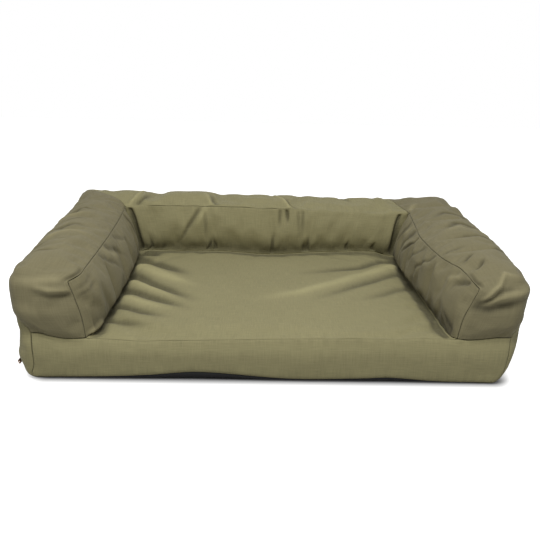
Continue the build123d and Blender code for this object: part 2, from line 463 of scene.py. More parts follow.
def along_list(stops, place):
    """Value at a place along a list of stops, on a smooth curve through them."""
    if place <= stops[0][0]:
        return stops[0][1]
    for number, (start, end) in enumerate(zip(stops, stops[1:])):
        if place <= end[0]:
            break
    else:
        return stops[-1][1]
    before = stops[max(number - 1, 0)]
    after = stops[min(number + 2, len(stops) - 1)]
    run = end[0] - start[0]
    share = (place - start[0]) / run
    start_rise = (end[1] - before[1]) / (end[0] - before[0]) * run
    end_rise = (after[1] - start[1]) / (after[0] - start[0]) * run
    turned = share * share * (3 - 2 * share)
    out_of_start = share * (1 - share) ** 2
    into_end = share * share * (1 - share)
    return lerp(start[1], end[1], turned) + start_rise * out_of_start - end_rise * into_end


def near_end(distance, reach):
    """0 at an end of a panel, rising steeply to 1 at a distance of reach."""
    left = 1 - clamp(distance / reach)
    return math.sqrt(1 - left * left)


def narrowing(point, mid_wall):
    """How much narrower the bed is at a point than its outer wall at the middle of its length."""
    walls = right_front_wall if point.x > 0 else left_front_wall
    run = taper_run
    if point.x < 0:
        run = lerp(zip_taper_run, taper_run, smooth_step(zip_clear_z, above_zip_z, point.z))
    front = 0.5 + 0.5 * math.cos(math.pi * clamp((point.y - front_y) / run))
    return (mid_wall - along_list(walls, point.z)) * front


def edge_move(point, across, along):
    """How far the outer top seam next to a point stands out and up from its plain line."""
    moves = right_edge_moves if point.x > 0 else left_edge_moves
    at_side = along_list(moves, (point.y - front_y) / (rear_y - front_y))
    at_rear = lerp(rear_edge_move, moves[-1][1], smooth_step(0, 1, across))
    return lerp(at_rear, at_side, smooth_step(-edge_blend_share, edge_blend_share, across - along))


def hem_slide(point):
    """How far a point low on a wall slides up or down it with the uneven lower edge of the canvas."""
    height = along_list(hem_heights, point.x / side_x)
    round_corner = 1 - smooth_step(0, hem_corner_run, point.y - front_y)
    fade = 1 - smooth_step(turn_up_z, turn_up_z + hem_reach, point.z)
    return (height - turn_up_z) * round_corner * fade * min(point.z / turn_up_z, 1)


def side_wall(point, move):
    """How far the outer wall stands from the middle at a point's height."""
    if point.z <= seat_z:
        mid_wall = base_arc(floor_x, side_x, base_side_crown, point.z)
    else:
        share = (point.z - seat_z) / bolster_height
        mid_wall = side_x + move * share + blunt_bulge(share, side_crown)
    return mid_wall - narrowing(point, mid_wall)


def wall_lines(point, across, move, turned_under):
    """Where the outer, inner, front, rear and facing walls stand at a point's height."""
    z = point.z
    outer = side_wall(point, move)
    from_front = point.y - front_y
    foot = inner_foot_x - foot_slip * near_end(from_front, foot_slip_run)
    if z <= seat_z:
        outer -= bottom_tuck * turned_under
        front = front_y - base_front_crown * math.sin(math.pi / 2 * clamp((seat_z - z) / front_drop))
        front += front_set_back * turned_under
        rear = base_arc(-floor_y, -front_y, base_front_crown, z) - bottom_tuck * turned_under
        return outer, foot, front, rear, facing_foot_y
    share = (z - seat_z) / bolster_height
    belly = along_list(right_belly if point.x > 0 else left_belly, from_front / (facing_y - front_y))
    inner = lerp(foot, inner_x, share) - belly * blunt_bulge(share**belly_low_share, 1)
    front_swell = near_end(min(clamp(across), clamp(1 - across)) * arm_width, front_swell_run)
    front = front_y - front_swell * blunt_bulge(share, front_crown)
    rear = rear_y + bulge(share, bolster_height, rear_crown)
    facing = lerp(facing_foot_y, facing_y, share) - bulge(share, bolster_height, inner_crown)
    return outer, inner, front, rear, facing


def corner_round_at(point):
    """Radius in plan of the round front corner at a point's height."""
    full_z = right_corner_round_z if point.x > 0 else left_corner_round_z
    return lerp(corner_round_low, corner_round, smooth_step(0, full_z, point.z))


def corner_place(run, radius, outer, front):
    """Place in plan at a run along the bed's outline from where its front turns into the round corner."""
    arc = radius * math.pi / 2
    turn = clamp(run / arc) * math.pi / 2
    x = outer - radius * (1 - math.sin(turn)) + min(run, 0)
    y = front + radius * (1 - math.cos(turn)) + max(run - arc, 0)
    return Vector((x, y))


def round_corner(point, across, outer, inner, front):
    """How far a point near a front corner moves in plan, where the bed is round and its seam leans."""
    from_front = point.y - front_y
    if across <= 0 or from_front >= corner_reach:
        return Vector((0, 0))
    seam_turn = right_seam_turn_share if point.x > 0 else left_seam_turn_share
    seam_turn = lerp(seam_turn, 1, smooth_step(corner_seam_low_z, corner_seam_high_z, point.z))
    radius = corner_round_at(point)
    arc = radius * math.pi / 2
    seam_run = seam_turn * arc
    width = outer - inner
    fade = 1 - from_front / corner_reach

    front_run = seam_run - (1 - across) * (width - radius + seam_run)
    at_front = corner_place(front_run, radius, outer, front) - Vector((lerp(inner, outer, across), front))
    seam_move = corner_place(seam_run, radius, outer, front) - Vector((outer, front))
    side_run = seam_run + (arc + corner_reach - radius - seam_run) * (1 - fade)
    at_side = corner_place(side_run, radius, outer, front) - Vector((outer, front + from_front))
    return at_front * fade + at_side * across - seam_move * fade * across


def seat_height_at(x_share, y_share):
    """Height of the stuffed seat over its seams."""
    sideways = 1 - abs(x_share) ** seat_side_power
    front_rise = 1 - (1 - clamp(y_share / seat_front_share)) ** seat_front_power
    back_drop = 1 - smooth_step(seat_back_share, 1, y_share)
    return seat_crown * sideways * front_rise * back_drop


def seam_lift(point, across):
    """How far the seams round the top of the mattress stand over their plain lines near a point."""
    near = math.exp(-(((point.z - seat_z) / front_seam_reach) ** 2))
    fade = 1 - near_end(point.y - front_y, front_seam_run)
    at_front = along_list(front_seam_lifts, point.x / side_x) * near * fade
    if across > tiny or point.z < seat_z - tiny:
        return at_front
    close = 1 - clamp((facing_y - point.y) / seat_back_reach)
    return at_front + along_list(seat_back_lifts, point.x / inner_x) * near * close**2


def rolled_over_front(point, outer, front):
    """The place of a point of an arm once its top rolls down over its front."""
    off = clamp((point.x - (outer - corner_round)) / corner_round)
    front += corner_round * (1 - math.sqrt(1 - off**2))
    down = (point.z - (seam_z - front_fold_radius)) / front_fold_radius
    ahead = (front + front_fold_radius - point.y) / front_fold_radius
    if down <= 0 or ahead <= 0:
        return point
    shrink = max(down, ahead) / math.hypot(down, ahead)
    y = front + front_fold_radius * (1 - ahead * shrink)
    z = seam_z - front_fold_radius * (1 - down * shrink)
    return Vector((point.x, y, z))


def height_share_at(point):
    """Share of the bolster's height at which a point lies."""
    return clamp((point.z - seat_z) / bolster_height)


def place_in_plan(point, across, along, walls):
    """Place in plan of a point between the stuffed walls, taken to the right-hand side."""
    outer, inner, front, rear, facing = walls
    x = lerp(inner, outer, across) if across >= 0 else abs(point.x) * inner / inner_x
    knee = lerp(facing, facing_y, clamp(across))
    if along < 0:
        y = lerp(front, knee, (point.y - front_y) / (facing_y - front_y))
    else:
        y = lerp(knee, rear, along)
    turned = round_corner(point, across, outer, inner, front)
    return x + turned.x, y + turned.y


def top_lift(point, across, along, move):
    """How far a point of the bolster's top stands over its seams."""
    lift = 0.0
    swell_share = across if along < 0 or across > along else along
    if swell_share > 0:
        swell = blunt_bulge(swell_share, top_crown) * near_end(point.y - front_y, top_swell_run)
        lift += swell + edge_rise_share * move * swell_share**2
    if along > 0:
        rounded = math.sin(math.pi * clamp(along) ** back_lift_root)
        lift += along_list(back_lifts, point.x / side_x) * rounded
    return lift


def stuffed_height(point, across, along, move):
    """Height of a point, with the swelling of its face and the uneven runs of the mattress's seams."""
    z = point.z
    from_front = point.y - front_y
    if z > seam_z - tiny:
        z += top_lift(point, across, along, move)
    elif z > seat_z - tiny and across <= tiny and along <= tiny:
        swell = seat_height_at(point.x / inner_x, from_front / (facing_y - front_y))
        z = lerp(z + swell, z, smooth_step(0, seat_swell_fade, z - seat_z))
    if across > -tiny and point.z > seat_z:
        fall = front_fall * (1 - clamp(across)) * height_share_at(point) ** front_fall_power
        z -= fall * (1 - smooth_step(0, front_fall_run, from_front))
    return z + seam_lift(point, across)


def lean_of_right_seam(point, across, along):
    """How far inwards a point of the bolster's top moves with the right arm's top seam."""
    if point.z <= seam_z - tiny or point.x < 0 or along <= 0:
        return 0.0
    lean_reach = arm_width * (corner_lean_share if across > 0 else back_lean_share)
    return right_seam_lean * along * clamp(1 - abs(abs(point.x) - inner_x) / lean_reach)


def seam_slip(point, across, along):
    """How far a point moves inwards and up with the slipped top seams round the well."""
    high = smooth_step(slip_low_share, 1, height_share_at(point))
    slip, rise = 0.0, 0.0
    if across > -tiny and along < tiny:
        slips = right_seam_slips if point.x >= 0 else left_seam_slips
        near = high * (1 - smooth_step(0, slip_reach_share, across))
        slip = along_list(slips, (point.y - front_y) / (rear_y - front_y)) * near
        rise -= slip_drop_share * abs(slip)
    if along > -tiny and across < tiny:
        near = high * (1 - smooth_step(0, slip_reach_share, along))
        rise += along_list(facing_seam_lifts, point.x / inner_x) * near
    return slip, rise


def round_rear_corner(x, y, outer, rear):
    """Place in plan once the rear corners are round."""
    in_x = (x - (outer - rear_round)) / rear_round
    in_y = (y - (rear - rear_round)) / rear_round
    if in_x <= 0 or in_y <= 0:
        return x, y
    shrink = max(in_x, in_y) / math.hypot(in_x, in_y)
    return outer - rear_round * (1 - in_x * shrink), rear - rear_round * (1 - in_y * shrink)


def corner_pit(point):
    """How far the upright corner between an arm and the back is drawn in near a point."""
    from_corner = max(inner_x - abs(point.x), facing_y - point.y)
    pit = math.exp(-((from_corner / corner_pit_reach) ** 2))
    return corner_pit_depth * pit * math.sin(math.pi * height_share_at(point)) ** corner_pit_root


def stuffed(point):
    """Where a point of the flat-sided cover goes once the cover is stuffed."""
    side = 1 if point.x >= 0 else -1
    across, along = block_shares(point)
    move = edge_move(point, across, along)
    turned_under = (1 - clamp(point.z / turn_up_z)) ** 2
    point = point + Vector((0, 0, hem_slide(point)))
    walls = wall_lines(point, across, move, turned_under)
    outer, front, rear = walls[0], walls[2], walls[3]
    slip, rise = seam_slip(point, across, along)
    x, y = place_in_plan(point, across, along, walls)
    x -= lean_of_right_seam(point, across, along) + slip
    z = stuffed_height(point, across, along, move) + rise
    if across > -tiny and z > seat_z:
        x, y, z = rolled_over_front(Vector((x, y, z)), outer, front)
    x, y = round_rear_corner(x, y, outer, rear)
    if across <= tiny and along <= tiny and point.z > seat_z:
        x += corner_pit(point)
        y += corner_pit(point)
    return Vector((side * x, y, z))


def stuffed_cover():
    """The stuffed cover, with each face's panel number and the laid-flat place of its points."""
    bm = flat_cover()
    cut_left_mitre(bm)
    for face in bm.faces:
        face.material_index = NUMBER[panel_at(face)]
        face.smooth = True
    laid = bm.loops.layers.uv.new("laid_flat")
    for face in bm.faces:
        for loop in face.loops:
            loop[laid].uv = laid_flat(PANELS[face.material_index], loop.vert.co)
    for vert in bm.verts:
        vert.co = stuffed(vert.co.copy())
    mesh = finished_mesh("cover", bm)
    for name in PANELS:
        mesh.materials.append(None)
    return mesh


# Stuffing presses the cover outwards while the seams, the floor and the zip hold it
CLOTH_SETTINGS = {
    "quality": 6,
    "mass": 0.3,
    "tension_stiffness": 30,
    "compression_stiffness": 30,
    "shear_stiffness": 12,
    "bending_stiffness": 1.5,
    "vertex_group_mass": "held",
    "pin_stiffness": 1.0,
    "use_pressure": True,
    "uniform_pressure_force": 4.0,
    "shrink_min": -0.03,
}
stuffing_frames = 20
most_movement = 8 * mm
wrinkle_gain = 1.25
swelling_share = 0.15
averaging_rounds = 40
zip_hold_z = 50 * mm

# Share of the settling that shows on the panels that are drawn tight
TIGHT_PANELS = {"front_band": 0.25, "seat_panel": 0.5, "back_facing_panel": 0.6, "rear_panel": 0.6}


def settling_shares(mesh):
    """For each point, how much of the settling shows there."""
    shares = [1.0] * len(mesh.vertices)
    for face in mesh.polygons:
        for index in face.vertices:
            shares[index] = min(shares[index], TIGHT_PANELS.get(PANELS[face.material_index], 1.0))
    return shares


def held_by_seams(mesh):
    """The numbers of the points that the seams, the floor and the zip hold."""
    bm = bmesh.new()
    bm.from_mesh(mesh)
    held = set()
    for vert in bm.verts:
        panels = {face.material_index for face in vert.link_faces}
        at_zip = vert.co.z < zip_hold_z and vert.co.x < -floor_x
        if len(panels) > 1 or NUMBER["underside_panel"] in panels or at_zip:
            held.add(vert.index)
    bm.free()
    return held


def averaged(mesh, values):
    """Values of a mesh's points, smoothed out over their neighbours many times."""
    beside = [[] for vert in mesh.vertices]
    for edge in mesh.edges:
        a, b = edge.vertices
        beside[a].append(b)
        beside[b].append(a)
    for turn in range(averaging_rounds):
        sums = [value + sum(values[n] for n in near) for value, near in zip(values, beside)]
        values = [total / (1 + len(near)) for total, near in zip(sums, beside)]
    return values


def stuff(piece):
    """Let the cloth settle over its stuffing, and put the result in the mesh."""
    mesh = piece.data
    held = held_by_seams(mesh)
    piece.vertex_groups.new(name="held").add(list(held), 1.0, "REPLACE")
    modifier = piece.modifiers.new("Stuffing", "CLOTH")
    for key, value in CLOTH_SETTINGS.items():
        setattr(modifier.settings, key, value)
    modifier.settings.effector_weights.gravity = 0
    modifier.collision_settings.use_collision = False
    modifier.point_cache.frame_start = 1
    modifier.point_cache.frame_end = stuffing_frames
    scene = bpy.context.scene
    for number in range(1, stuffing_frames + 1):
        scene.frame_set(number)
    settled = piece.evaluated_get(bpy.context.evaluated_depsgraph_get()).to_mesh()
    moves = [settled.vertices[vert.index].co - vert.co for vert in mesh.vertices]
    piece.modifiers.remove(modifier)
    piece.vertex_groups.clear()
    moves = [move * share for move, share in zip(moves, settling_shares(mesh))]
    moves = [move * min(1, most_movement / max(move.length, mm)) for move in moves]
    swelling = averaged(mesh, [move.dot(vert.normal) for vert, move in zip(mesh.vertices, moves)])
    for vert, move, swell in zip(mesh.vertices, moves, swelling):
        if vert.index not in held:
            vert.co += move * wrinkle_gain - vert.normal * swell * (wrinkle_gain - swelling_share)
    scene.frame_set(1)


def refined(mesh):
    """The same mesh with one level of smooth subdivision."""
    return with_modifier(mesh, "SUBSURF", levels=1, render_levels=1, boundary_smooth="PRESERVE_CORNERS")


# Zip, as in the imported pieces
zip_z = 24 * mm
zip_front_y = 28 * mm - half_depth
zip_rear_y = half_depth - 50 * mm
zip_slot_half_width = 5 * mm
zip_near = 15 * mm
bead_gap = 1.0 * mm
bead_width = 2.1 * mm
bead_height = 1.9 * mm
bead_low = -1.9 * mm

# A panel rolls down into its seams in two narrow rings
seam_rings = [0.5 * mm, 0.8 * mm]
ring_sink_share = 0.35
slot_sink_share = 0.3
sliver = 0.7 * mm

# Gathers along the seams and the slow unevenness of the stuffing
gather_height = 0.7 * mm
gather_size = 9 * mm
gather_reach = 13 * mm
gather_edge = 2.5 * mm
lump_height = 1.2 * mm
lump_size = 75 * mm
lump_edge = 50 * mm
fold_edge = 5 * mm
fold_gain = 1.5
fold_reach_share = 2.5
fold_start_shares = (-0.1, 0.12)
fold_end_shares = (0.4, 1)

# Painted shade in the crease where the bolster meets the seat
foot_crease_in = 18 * mm
foot_crease_reach = 20 * mm
foot_crease_rise = 50 * mm
foot_painted_shade_strength = 1.2

# A fold this high or deep shows the full change of colour: painted shade in a valley, paler on a ridge
crease_range = 3 * mm
# Painted shade may go this far past the full change in the deepest creases
deepest_crease = -1.4

# Folds of each panel: height, or depth below 0, and half width in millimetres, then places along the fold
# from its strong end, as shares across and along the panel
FOLDS = {
    "left_arm_top_panel": [
        (-1.8, 5, [(1.0, 0.72), (0.6, 0.76), (0.3, 0.77)]),
        (-2.4, 5, [(1.0, 0.58), (0.6, 0.64), (0.2, 0.60)]),
        (1.6, 7, [(1.0, 0.52), (0.6, 0.57), (0.3, 0.58)]),
        (-2.4, 5, [(1.0, 0.44), (0.6, 0.49), (0.25, 0.50)]),
        (-2.2, 6, [(1.0, 0.36), (0.55, 0.42), (0.2, 0.40)]),
        (1.8, 8, [(0.9, 0.30), (0.5, 0.33), (0.1, 0.32)]),
        (-2.0, 5, [(1.0, 0.22), (0.6, 0.26), (0.3, 0.27)]),
        (-2.0, 5, [(1.0, 0.12), (0.6, 0.14), (0.3, 0.15)]),
        (-3.0, 3.5, [(0.0, 0.07), (0.03, 0.02), (0.08, -0.05), (0.2, -0.12)]),
        (1.6, 8, [(0.12, 0.0), (0.5, -0.06), (0.85, -0.05)]),
        (2.2, 6, [(0.02, -0.19), (0.3, -0.20), (0.7, -0.12)]),
        (-1.6, 6, [(0.02, -0.27), (0.30, -0.31), (0.60, -0.27)]),
        (1.2, 12, [(0.5, -0.6), (0.9, -0.5)]),
    ],
    "right_arm_top_panel": [
        (2.5, 5, [(0.02, 0.79), (0.15, 0.83), (0.31, 0.87)]),
        (-2.2, 6, [(0.95, 0.62), (0.5, 0.66), (0.2, 0.60)]),
        (-2.5, 6, [(1.0, 0.50), (0.55, 0.52), (0.2, 0.44)]),
        (1.6, 8, [(1.0, 0.42), (0.5, 0.45), (0.15, 0.40)]),
        (-2.5, 6, [(1.0, 0.35), (0.5, 0.38), (0.15, 0.36)]),
        (-2.0, 5, [(1.0, 0.25), (0.6, 0.22), (0.35, 0.24)]),
        (-1.6, 5, [(0.05, 0.25), (0.4, 0.27)]),
        (-2.6, 4, [(0.12, 0.15), (0.36, 0.18)]),
        (-2.6, 4, [(0.16, 0.09), (0.42, 0.13)]),
        (-3.0, 3.5, [(0.0, 0.08), (0.03, 0.03), (0.08, -0.01), (0.2, -0.04)]),
        (3.6, 5, [(0.15, -0.22), (0.25, -0.08), (0.36, -0.01), (0.5, 0.03), (0.8, 0.01)]),
        (-2.4, 5, [(0.12, -0.30), (0.30, -0.20), (0.42, -0.09), (0.6, -0.06), (0.8, -0.07)]),
        (2.6, 10, [(0.2, -0.27), (0.45, -0.22), (0.75, -0.14), (1.0, -0.10)]),
        (-3.0, 8, [(0.03, -0.36), (0.28, -0.42), (0.47, -0.36), (0.72, -0.27), (0.95, -0.2)]),
    ],
    "back_top_panel": [
        (1.7, 4, [(-0.745, 0.02), (-0.715, 0.16), (-0.69, 0.5), (-0.68, 1.0)]),
        (-2.5, 6, [(-0.70, 0.02), (-0.66, 0.2), (-0.63, 0.6)]),
        (1.2, 5, [(-0.30, 0.02), (-0.32, 0.25), (-0.36, 0.60)]),
        (-2.2, 6, [(-0.27, 0.02), (-0.29, 0.25), (-0.32, 0.60)]),
        (2.2, 4, [(0.12, 0.02), (0.08, 0.3), (0.04, 0.60), (0.02, 1.0)]),
        (-2.6, 4, [(0.155, 0.02), (0.11, 0.3), (0.08, 0.60)]),
        (-1.6, 6, [(0.45, 0.9), (0.47, 0.3)]),
    ],
    "left_arm_inner_panel": [
        (-1.6, 5, [(0.28, 0.97), (0.40, 0.66), (0.48, 0.35)]),
        (1.2, 7, [(0.34, 0.97), (0.46, 0.70), (0.55, 0.40)]),
        (-1.6, 5, [(0.40, 0.97), (0.52, 0.74), (0.62, 0.42)]),
        (-1.2, 5, [(0.55, 0.97), (0.66, 0.78), (0.74, 0.50)]),
        (-0.9, 4, [(0.01, 0.80), (0.08, 0.88), (0.15, 0.90)]),
        (-0.7, 4, [(0.01, 0.66), (0.08, 0.75), (0.16, 0.78)]),
        (3.5, 5, [(0.01, 0.02), (0.07, 0.12), (0.12, 0.02)]),
        (-3.0, 5, [(0.90, 1.0), (0.95, 0.5), (0.97, -0.6)]),
    ],
    "right_arm_inner_panel": [
        (-2.2, 5, [(0.86, 0.97), (0.93, 0.50), (0.89, 0.13)]),
        (1.8, 6, [(0.79, 0.97), (0.87, 0.50), (0.86, 0.13)]),
        (-2.4, 6, [(0.72, 0.97), (0.80, 0.50), (0.83, 0.13)]),
        (-3.0, 4, [(0.62, 1.0), (0.62, 0.88), (0.75, 0.40)]),
        (-1.8, 4, [(0.35, 0.98), (0.48, 0.53), (0.52, 0.0)]),
        (-1.5, 5, [(0.48, 0.98), (0.58, 0.60), (0.66, 0.30)]),
        (-2.4, 5, [(0.05, 0.95), (0.12, 0.80), (0.13, 0.60)]),
        (1.6, 6, [(0.12, 0.90), (0.20, 0.72)]),
        (-1.6, 6, [(0.03, 0.10), (0.08, 0.22), (0.16, 0.42)]),
    ],
    "back_facing_panel": [
        (-6.0, 3.5, [(-0.972, 1.05), (-0.975, 0.7), (-0.98, 0.3), (-0.99, -1.5)]),
        (-6.5, 4.0, [(0.945, 1.05), (0.965, 0.6), (0.985, 0.1), (0.995, -1.5)]),
        (-2.4, 4, [(-0.48, 0.97), (-0.60, 0.57), (-0.72, 0.10)]),
        (1.3, 6, [(-0.44, 0.95), (-0.56, 0.50)]),
        (-1.4, 4, [(-0.455, 0.88), (-0.475, 0.22)]),
        (-2.8, 3.5, [(-0.47, -0.1), (-0.42, 0.45)]),
        (-2.8, 3.5, [(-0.395, -0.1), (-0.42, 0.45)]),
        (-2.2, 4, [(-0.90, -0.1), (-0.905, 0.45)]),
        (-1.5, 5, [(-0.80, -0.1), (-0.81, 0.30)]),
        (-2.0, 3.5, [(0.09, 1.0), (0.094, 0.55)]),
        (-4.0, 3.5, [(0.13, 1.05), (0.14, 0.93), (0.155, 0.65)]),
        (-2.8, 4, [(0.04, -0.1), (0.045, 0.35), (0.06, 0.68)]),
        (-1.4, 3.5, [(0.22, 0.95), (0.25, 0.35)]),
        (-1.7, 3.5, [(0.255, 0.97), (0.27, 0.38)]),
        (-2.4, 4, [(0.32, -0.1), (0.32, 0.56)]),
        (-1.8, 4, [(0.29, -0.1), (0.295, 0.40)]),
        (-2.2, 4, [(0.62, -0.1), (0.64, 0.45)]),
        (-1.8, 4, [(0.82, -0.1), (0.85, 0.40)]),
    ],
    "seat_panel": [
        (-2.0, 9, [(-0.97, 0.97), (-0.95, 0.5), (-0.96, 0.1), (-0.97, -0.8)]),
        (-2.0, 9, [(0.98, 0.97), (0.95, 0.6), (0.97, 0.3), (0.98, -0.6)]),
        (-7.0, 13, [(-1.0, 1.02), (-0.92, 0.96), (-0.76, 0.90)]),
        (-5.5, 13, [(-0.97, 0.90), (-0.80, 0.79), (-0.50, 0.60)]),
        (3.0, 16, [(-0.95, 0.78), (-0.72, 0.62), (-0.42, 0.44)]),
        (-5.5, 13, [(-0.97, 0.68), (-0.75, 0.50), (-0.40, 0.28)]),
        (2.5, 14, [(-0.95, 0.57), (-0.72, 0.43), (-0.48, 0.30)]),
        (-5.0, 11, [(-0.97, 0.48), (-0.76, 0.37), (-0.44, 0.22)]),
        (2.0, 12, [(-0.95, 0.38), (-0.76, 0.29), (-0.55, 0.22)]),
        (-3.5, 11, [(-0.97, 0.30), (-0.78, 0.22), (-0.56, 0.15)]),
        (-2.5, 10, [(-0.97, 0.16), (-0.80, 0.12), (-0.65, 0.08)]),
        (-2.8, 12, [(0.97, 0.94), (0.66, 0.77), (0.10, 0.62)]),
        (2.5, 14, [(0.97, 0.84), (0.68, 0.67), (0.42, 0.57)]),
        (-2.6, 12, [(0.97, 0.74), (0.67, 0.57), (0.20, 0.30)]),
        (2.0, 16, [(0.60, 0.62), (0.20, 0.42), (-0.20, 0.30)]),
        (-2.0, 12, [(0.97, 0.56), (0.72, 0.42), (0.52, 0.33)]),
    ],
}

PANEL_UNITS = {
    "arm_top_panel": (side_x - inner_x, rear_y - front_y),
    "arm_inner_panel": (facing_y - front_y, bolster_height),
    "side_panel": (rear_y - front_y, seam_z),
    "back_facing_panel": (inner_x, bolster_height),
    "back_top_panel": (side_x, rear_y - facing_y),
    "seat_panel": (inner_x, facing_y - front_y),
    "front_band": (side_x, seat_z),
    "rear_panel": (side_x, seam_z),
}


def spot(name, shares):
    """A place on a panel laid flat from its shares, which below 0 run down the front on an arm's top."""
    wide, long = PANEL_UNITS[sort_of(name)]
    if sort_of(name) == "arm_top_panel" and shares[1] < 0:
        long = bolster_height
    return Vector((shares[0] * wide, shares[1] * long))


def along_fold(place, stops):
    """Distance of a place from a fold's line, and the share of the fold's length at its nearest point."""
    best, best_share = 1.0, 0.0
    total = sum((b - a).length for a, b in zip(stops, stops[1:]))
    done = 0.0
    for a, b in zip(stops, stops[1:]):
        run = b - a
        share = clamp((place - a).dot(run) / run.length_squared)
        distance = (a + run * share - place).length
        if distance < best:
            best, best_share = distance, (done + share * run.length) / total
        done += run.length
    return best, best_share


def folds_of(name):
    """The folds of a panel: their heights, half widths and places on the panel laid flat."""
    folds = []
    for height, wide, stops in FOLDS.get(name, []):
        folds.append((height * mm, wide * mm, [spot(name, stop) for stop in stops]))
    return folds


def fold_height(place, folds):
    """Height of all folds of a panel at one place of it."""
    total = 0.0
    for height, wide, stops in folds:
        reach = fold_reach_share * wide
        if not min(stop.x for stop in stops) - reach < place.x < max(stop.x for stop in stops) + reach:
            continue
        distance, share = along_fold(place, stops)
        if distance < reach:
            strength = smooth_step(*fold_start_shares, share) * (1 - smooth_step(*fold_end_shares, share))
            total += fold_gain * height * strength * math.exp(-((distance / wide) ** 2))
    return total


def points_on_seams(bm):
    """The points on a panel's edge, for finding the nearest."""
    rim = [vert for vert in bm.verts if vert.is_boundary]
    tree = kdtree.KDTree(len(rim))
    for place, vert in enumerate(rim):
        tree.insert(vert.co, place)
    tree.balance()
    return tree


def foot_shade(point):
    """How much painted shade a point gets in the crease where the arms and the back meet the seat."""
    from_arm = abs(point.x) - (inner_foot_x - foot_crease_in)
    from_back = point.y - (facing_foot_y - foot_crease_in)
    if point.y < front_y + foot_crease_in or point.z < seat_z - foot_crease_in:
        return 0.0
    low = 1 - smooth_step(seat_z, seat_z + foot_crease_rise, point.z)
    near = smooth_step(-foot_crease_reach, 0, max(from_arm, from_back))
    return foot_painted_shade_strength * low * near


def crumple(bm, name):
    """Raise the folds, gathers and lumps of one panel, and keep their height for its colour, which is
    painted shade in the valleys.
    """
    folds = folds_of(name)
    laid = bm.loops.layers.uv["laid_flat"]
    crease = bm.verts.layers.float.new("crease")
    seams = points_on_seams(bm)
    bm.normal_update()
    moves = []
    for vert in bm.verts:
        if vert.is_boundary:
            continue
        nearest, _, distance = seams.find(vert.co)
        folded = fold_height(vert.link_loops[0][laid].uv, folds) * smooth_step(0, fold_edge, distance)
        fade = smooth_step(0, gather_edge, distance) * math.exp(-((distance / gather_reach) ** 2))
        gathered = gather_height * fade * noise.noise(nearest / gather_size)
        lump = lump_height * smooth_step(0, lump_edge, distance) * noise.noise(vert.co / lump_size)
        calm = smooth_step(zip_clear_z, zip_hold_z, vert.co.z) if vert.co.x < -floor_x else 1.0
        moves.append((vert, vert.normal * (folded + gathered + lump) * calm))
        # Valleys and the bolster's foot get painted shade, ridges a paler tone
        height_share = (folded + gathered) / crease_range
        vert[crease] = clamp(height_share - foot_shade(vert.co), deepest_crease, 1)
    for vert, move in moves:
        vert.co += move


# How clearly the seam along the top of the back's face shows, as places from left to right
back_seam_shares = [(-0.95, 0), (-0.86, 0), (-0.8, 1), (0.1, 1), (0.2, 0.3), (0.95, 0.15)]

# Seams pull in more at the hooks of the arms' front corners and under the arms, and less along the seat's
# front
hook_reach = 16 * mm
hook_pull_share = 2.0
seat_seam_share = 0.5
arm_foot_seam_share = 2.2


def mark_seams(bm):
    """Keep at each seam point of the cover the direction and strength in which the seam pulls it in."""
    back_seam = {NUMBER["back_facing_panel"], NUMBER["back_top_panel"]}
    seat_seam = {NUMBER["front_band"], NUMBER["seat_panel"]}
    sink = bm.verts.layers.float_vector.new("sink")
    bm.normal_update()
    for vert in bm.verts:
        panels = {face.material_index for face in vert.link_faces}
        strength = 1.0
        if panels == back_seam:
            strength = along_list(back_seam_shares, vert.co.x / inner_x)
        elif panels == seat_seam:
            strength = seat_seam_share
        elif NUMBER["front_band"] in panels and vert.co.z > seat_z - front_seam_reach:
            strength = arm_foot_seam_share
        elif vert.co.z > seam_z - hook_reach:
            from_hook = Vector((abs(vert.co.x) - inner_x, vert.co.y - front_y - hook_reach)).length
            strength += hook_pull_share * math.exp(-((from_hook / hook_reach) ** 2))
        if len(panels) > 1:
            vert[sink] = -vert.normal * strength


def cut_out(cover_bm, name):
    """A copy of one panel of the cover."""
    bm = cover_bm.copy()
    others = [face for face in bm.faces if face.material_index != NUMBER[name]]
    bmesh.ops.delete(bm, geom=others, context="FACES")
    return bm


def roll_edges(bm):
    """Roll a panel's edges down into its seams, with painted shade on them as deep as they sink."""
    sink = bm.verts.layers.float_vector["sink"]
    inner = bm.faces[:]
    for wide in seam_rings:
        ring = bmesh.ops.inset_region(
            bm, faces=inner, thickness=wide, use_boundary=True, use_even_offset=False
        )
        made = set(ring["faces"])
        inner = [face for face in inner if face not in made]
    rim = [vert for vert in bm.verts if vert.is_boundary]
    beside = {edge.other_vert(vert) for vert in rim for edge in vert.link_edges if not edge.is_boundary}
    pulls = [(vert, vert[sink] * seam_depth) for vert in rim]
    for vert in beside:
        if not vert.is_boundary:
            pulls.append((vert, vert[sink] * seam_depth * ring_sink_share))
    crease = bm.verts.layers.float["crease"]
    for vert, pull in pulls:
        vert.co += pull
        # Painted shade along the seams, darker where they sink deeper
        vert[crease] = -min(pull.length / seam_depth, 1)


def zip_place():
    """Middle of the zip on the left side, and the directions out of the bed and down along the cloth."""
    centre, radius = base_circle(floor_x, side_x, base_side_crown)
    drop = zip_z - centre.y
    out_x = math.sqrt(radius**2 - drop**2)
    out = Vector((-out_x, 0, drop)) / radius
    return Vector((-centre.x - out_x, 0, zip_z)), out, Vector((-out.z, 0, out.x))


